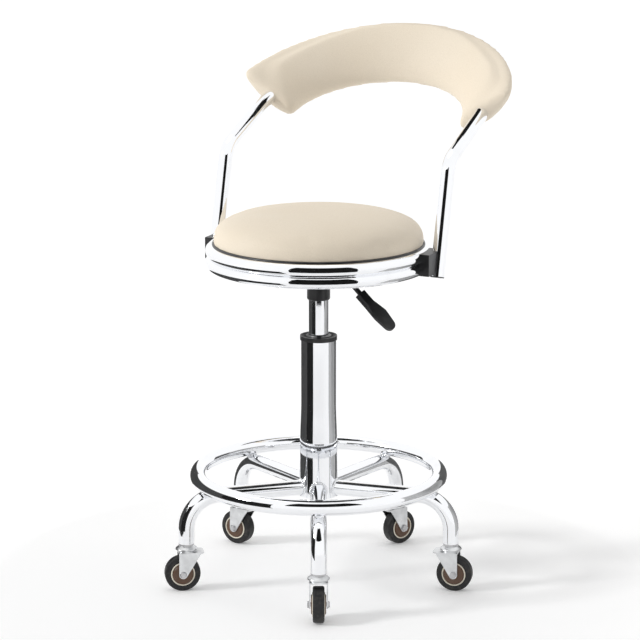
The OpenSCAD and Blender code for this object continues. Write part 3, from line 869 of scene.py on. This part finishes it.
@dataclass
class Base:
    """Welds of the legs, the column and the foot ring, and the balls in the casters' races."""

    legs: int = 5
    first_leg: float = math.radians(-67)
    leg_r: float = 11 * MM
    bend_r: float = 46 * MM
    foot_r: float = 26.5 * MM
    ripple_r: float = 1.7 * MM
    pitch: float = 1.5 * MM
    loop_r: float = 6.2 * MM
    race_r: float = 11.2 * MM
    balls: int = 14
    ball_r: float = 1.0 * MM
    race_up: float = 0.2 * MM
    leg_past_ring: float = 24 * MM
    saddle_proud: float = 0.4 * MM
    saddle_spread: float = 1.04
    loop_sunk: float = 0.6 * MM
    loop_squash: float = 0.9
    leg_z: float = field(init=False)
    leg_reach: float = field(init=False)
    ring_r: float = field(init=False)
    ring_z: float = field(init=False)
    race_z: float = field(init=False)

    def __post_init__(self) -> None:
        """Reads the legs' and the ring's places from the frame."""
        low, high = corners("foot_ring")
        self.ring_z = (low[2] + high[2]) / 2
        self.ring_r = high[0] - self.leg_r
        self.leg_z = corners("leg_1")[1][2] - self.leg_r
        self.leg_reach = self.ring_r + self.leg_past_ring
        self.race_z = corners("caster_dishes")[0][2] + self.race_up

    def turned(self, leg: int, points: Points) -> Points:
        """Points given with +X along a leg, in the stool's frame."""
        turn = self.first_leg + leg * TURN / self.legs
        c, s = math.cos(turn), math.sin(turn)
        return points @ np.array([[c, s, 0], [-s, c, 0], [0, 0, 1]])

    def saddle(self) -> Points:
        """Places round the joint of a leg and the column, closed, a pitch apart."""
        steps = round(TURN * self.leg_r / self.pitch)
        angle = np.arange(steps) * TURN / steps
        y, z = self.leg_r * np.cos(angle), self.leg_r * np.sin(angle)
        out = np.sqrt(self.foot_r**2 - y**2) + self.saddle_proud
        return np.stack([out, y * self.saddle_spread, self.leg_z + z * self.saddle_spread], 1)

    def seat_of_ring(self) -> Points:
        """Places round the spot where the ring rests on a leg's bend."""
        centre = np.array([self.leg_reach - self.bend_r, 0.0, self.leg_z - self.bend_r])
        out = np.array([self.ring_r, 0.0, self.ring_z]) - centre
        out /= np.linalg.norm(out)
        across = np.array([out[2], 0.0, -out[0]])
        steps = round(TURN * self.loop_r / self.pitch)
        angle = np.arange(steps) * TURN / steps
        spot = centre + out * (self.bend_r + self.leg_r - self.loop_sunk)
        around = np.outer(np.cos(angle), across) * self.loop_squash + np.outer(np.sin(angle), (0.0, 1.0, 0.0))
        return spot + self.loop_r * around

    def build(self) -> None:
        """Makes the welds and the balls."""
        ripple = Repeat("weld_ripple", "GeometryNodeMeshIcoSphere", {"Radius": self.ripple_r, "Subdivisions": 2},
                        Slot.chrome)
        for name, places in (("column_welds", self.saddle()), ("ring_welds", self.seat_of_ring())):
            spots = np.concatenate([self.turned(i, places) for i in range(self.legs)])
            settle(ripple.along(name, spots), "base", Slot.chrome)
        ball = Repeat("race_ball", "GeometryNodeMeshIcoSphere", {"Radius": self.ball_r, "Subdivisions": 2},
                      Slot.steel)
        angle = np.arange(self.balls) * TURN / self.balls
        cage = np.stack([self.leg_reach + self.race_r * np.cos(angle), self.race_r * np.sin(angle),
                         np.full(self.balls, self.race_z)], 1)
        spots = np.concatenate([self.turned(i, cage) for i in range(self.legs)])
        settle(ball.along("race_balls", spots), "base", Slot.steel)
        LOG.info("base: welds and races on %d legs", self.legs)


@dataclass
class WheelTrim:
    """The pale ring round each face of a caster wheel's hub."""

    wheels: int = 5
    ring_r: float = 15.9 * MM
    bead_r: float = 1.0 * MM
    proud: float = 0.3 * MM
    half_width: float = 8.0 * MM

    def build(self) -> None:
        """Makes two rings for each wheel."""
        bead = Bead("hub_trim", Trim.hub_ring, 72)
        for i in range(1, self.wheels + 1):
            low, high = corners(f"tyre_{i}")
            centre = (low + high) / 2
            joint = next(j for j in frame["record"]["behaviour"]["joints"] if j["name"] == f"wheel_{i}_roll")
            axis = np.array(joint["axis"], float)
            axis /= np.linalg.norm(axis)
            offset = self.half_width + self.proud - self.bead_r * 0.5
            spots = np.array([centre + axis * offset, centre - axis * offset])
            turns = np.array([euler_from((0, 0, 1), axis)] * 2)
            settle(bead.rings(f"hub_trim_{i}", spots, turns, self.ring_r, self.bead_r), f"wheel_{i}", Trim.hub_ring)
        LOG.info("wheel trim: %d wheels", self.wheels)


@dataclass
class Underside:
    """The staples that hold the black cloth under the seat."""

    staples: int = 44
    inset: float = 5 * MM
    slant: float = 0.25
    size: tuple[float, float, float] = (9 * MM, 1.1 * MM, 0.7 * MM)

    def build(self) -> None:
        """Makes the ring of staples."""
        low, high = corners("dust_cover")
        angle = np.arange(self.staples) * TURN / self.staples
        reach = high[0] - self.inset
        spots = np.stack([reach * np.cos(angle), reach * np.sin(angle), np.full(self.staples, low[2])], 1)
        askew = angle + math.pi / 2 + self.slant * np.sin(7 * angle)
        turns = np.stack([np.zeros_like(angle), np.zeros_like(angle), askew], 1)
        staple = Repeat("staple", "GeometryNodeMeshCube", {"Size": self.size}, Slot.steel)
        settle(staple.along("cloth_staples", spots, turns), "seat", Slot.steel)
        LOG.info("underside: %d staples", self.staples)


def dress_nodes() -> None:
    """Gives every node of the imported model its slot's finish."""
    for part in frame["record"]["subparts"]:
        node = frame["nodes"][part["node"]]
        material = Slot[part["material_slot"]].material()
        node.data.materials.clear()
        node.data.materials.append(material)
        node.material_slots[0].material = material


@dataclass(frozen=True)
class Studio:
    """The pale floor, the lights, the dark cards that chrome needs to show its shape, and the camera."""

    turn: float = math.radians(23)
    distance: float = 3.6375
    height: float = 1.187
    tilt: float = math.radians(12.61)
    lens: float = 150.5
    aside: float = 0.0022
    aim_z: float = 0.4
    floor_half: float = 14.0
    sky: float = 1.08
    sky_on_matt: float = 0.68
    screen_away: float = 0.46
    screen_heights: tuple[float, float] = (0.0, 0.31)

    def floor(self) -> None:
        """A broad pale floor."""
        r = Recipe("floor")
        speck = r.noise(3.0, 3.0)
        colour = r.blend(speck, (0.95, 0.95, 0.95), (0.97, 0.97, 0.97))
        r.finish(Base_Color=colour, Roughness=0.6 + 0.1 * speck, Specular_IOR_Level=0.2,
                 Emission_Color=colour, Emission_Strength=0.17)
        mesh = bpy.data.meshes.new("floor")
        side = self.floor_half
        mesh.from_pydata([(-side, -side, 0), (side, -side, 0), (side, side, 0), (-side, side, 0)], [], [(0, 1, 2, 3)])
        mesh.materials.append(r.material)
        placed("floor", mesh)

    def world(self) -> None:
        """A white studio, dimmer where it only lights matt surfaces."""
        world = bpy.data.worlds.new("studio")
        world.use_nodes = True
        bpy.context.scene.world = world
        tree = world.node_tree
        tree.nodes.clear()
        add, link = tree.nodes.new, tree.links.new
        out, bright, dim, mix, path = (add("ShaderNodeOutputWorld"), add("ShaderNodeBackground"),
                                       add("ShaderNodeBackground"), add("ShaderNodeMixShader"),
                                       add("ShaderNodeLightPath"))
        for sky, strength in ((bright, self.sky), (dim, self.sky_on_matt)):
            sky.inputs["Color"].default_value = (1, 1, 1, 1)
            sky.inputs["Strength"].default_value = strength
        link(path.outputs["Is Diffuse Ray"], mix.inputs[0])
        link(bright.outputs[0], mix.inputs[1])
        link(dim.outputs[0], mix.inputs[2])
        link(mix.outputs[0], out.inputs["Surface"])

    def lamp(self, name: str, azimuth: float, elevation: float, away: float, size: tuple[float, float],
             power: float) -> None:
        """An area light aimed at the stool.

        Args:
            name: its name.
            azimuth: degrees round from the camera, positive to its right.
            elevation: degrees above the horizon.
            away: its distance.
            size: its width and height.
            power: its power in watts.
        """
        light = bpy.data.lights.new(name, "AREA")
        light.shape = "RECTANGLE"
        light.size, light.size_y = size
        light.energy = power
        made = placed(name, light)
        turn = self.turn + math.radians(azimuth)
        flat = away * math.cos(math.radians(elevation))
        rise = away * math.sin(math.radians(elevation))
        made.location = (flat * math.sin(turn), -flat * math.cos(turn), self.aim_z + rise)
        aim = Vector((0, 0, self.aim_z)) - made.location
        made.rotation_euler = aim.to_track_quat("-Z", "Y").to_euler()

    def sun(self, name: str, azimuth: float, elevation: float, spread: float, strength: float) -> None:
        """A far light, even over the whole floor.

        Args:
            name: its name.
            azimuth: degrees round from the camera, positive to its right.
            elevation: degrees above the horizon.
            spread: how wide it looks, in degrees.
            strength: its strength in watts per square metre.
        """
        light = bpy.data.lights.new(name, "SUN")
        light.angle = math.radians(spread)
        light.energy = strength
        made = placed(name, light)
        turn, high = self.turn + math.radians(azimuth), math.radians(elevation)
        towards = Vector((math.cos(high) * math.sin(turn), -math.cos(high) * math.cos(turn), math.sin(high)))
        made.rotation_euler = towards.to_track_quat("Z", "Y").to_euler()

    def card(self, name: str, sector: tuple[float, float], away: float, heights: tuple[float, float],
             shade: float, shiny: bool = True) -> None:
        """A curved screen round the stool, seen by shiny surfaces only or by matt ones only.

        Args:
            name: its name.
            sector: degrees round from the camera where it starts and ends, positive to its right.
            away: its distance from the stool's axis.
            heights: the heights of its foot and top.
            shade: its grey.
            shiny: whether shiny surfaces are the ones that see it.
        """
        turns = self.turn + np.radians(np.linspace(*sector, 25))
        ring = np.stack([away * np.sin(turns), -away * np.cos(turns)], 1)
        points = [(x, y, z) for z in heights for x, y in ring.tolist()]
        count = len(ring)
        faces = [(k, k + 1, count + k + 1, count + k) for k in range(count - 1)]
        mesh = bpy.data.meshes.new(name)
        mesh.from_pydata(points, [], faces)
        r = Recipe(name)
        tone = r.noise(2.0, 2.0)
        r.finish(Base_Color=r.blend(tone, (shade,) * 3, (shade * 1.15,) * 3), Roughness=0.9, Specular_IOR_Level=0.0)
        mesh.materials.append(r.material)
        made = placed(name, mesh)
        made.visible_camera = False
        made.visible_shadow = False
        made.visible_diffuse = not shiny
        made.visible_glossy = shiny

    def camera(self) -> None:
        """The camera, level with a standing person's chest and far back, with a long lens."""
        data = bpy.data.cameras.new("camera")
        data.lens = self.lens
        data.sensor_width = 36.0
        data.clip_start, data.clip_end = 0.1, 60.0
        data.shift_x = self.aside
        made = placed("camera", data)
        made.location = (self.distance * math.sin(self.turn), -self.distance * math.cos(self.turn), self.height)
        made.rotation_euler = (math.pi / 2 - self.tilt, 0.0, self.turn)
        bpy.context.scene.camera = made

    def build(self) -> None:
        """Sets up everything that isn't the stool."""
        bpy.context.scene.view_settings.view_transform = "Standard"
        self.camera()
        self.floor()
        self.world()
        self.sun("key", -76, 30, 12, 1.35)
        self.lamp("top", -150, 74, 2.6, (1.5, 1.5), 4.0)
        for name, sector, shade in (("left_screen", (-150, -77), 0.080), ("left_edge", (-77, -34), 0.020),
                                    ("right_screen", (66, 120), 0.42), ("right_edge", (120, 150), 0.10)):
            self.card(name, sector, self.screen_away, self.screen_heights, shade)
        self.card("near_screen", (-25, 33), self.screen_away, (0.30, 0.96), 0.012)
        self.card("back_screen", (142, 172), 0.50, (0.74, 1.15), 0.012)
        self.card("front_screen", (-27, 28), 1.5, (0.36, 1.6), 0.012, shiny=False)


def main() -> None:
    """Builds the stool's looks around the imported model."""
    logging.basicConfig(level=logging.INFO, format="%(message)s")
    Studio().build()
    dress_nodes()
    Upholstery().build()
    Backrest().build()
    Base().build()
    WheelTrim().build()
    Underside().build()


if __name__ == "__main__":
    main()
